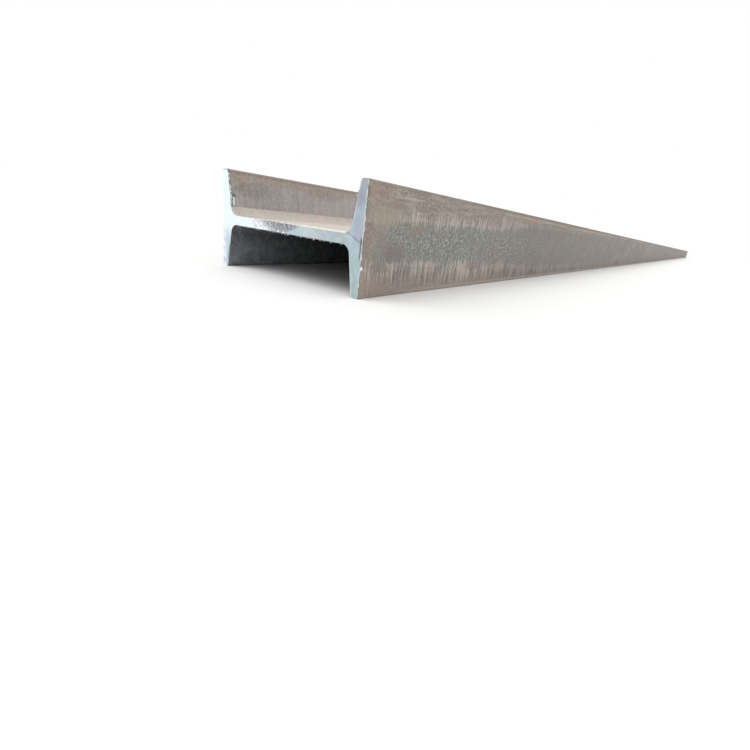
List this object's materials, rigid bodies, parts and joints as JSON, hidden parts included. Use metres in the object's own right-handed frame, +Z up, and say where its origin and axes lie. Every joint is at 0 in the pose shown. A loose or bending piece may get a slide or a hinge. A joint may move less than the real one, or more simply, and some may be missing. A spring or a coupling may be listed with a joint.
{
  "type": "steel i-beam",
  "caption": "Hot-rolled steel I-beam with tapered flanges and rounded roots, sawn square at both ends, lying on its flange toes with the web level.",
  "frame": {"origin": "under the middle of the beam, on the level that the flange toes rest on", "axes": "+X across the section from flange to flange, +Y along the length, +Z up and square to the web"},
  "size_m": [0.2, 9, 0.102],
  "materials": {
    "hot_rolled_steel": "dull brown-grey mill scale on the rolled faces, bright bare steel on the sawn ends"
  },
  "bodies": {
    "root": {"i_beam": "hot_rolled_steel"}
  },
  "joints": []
}
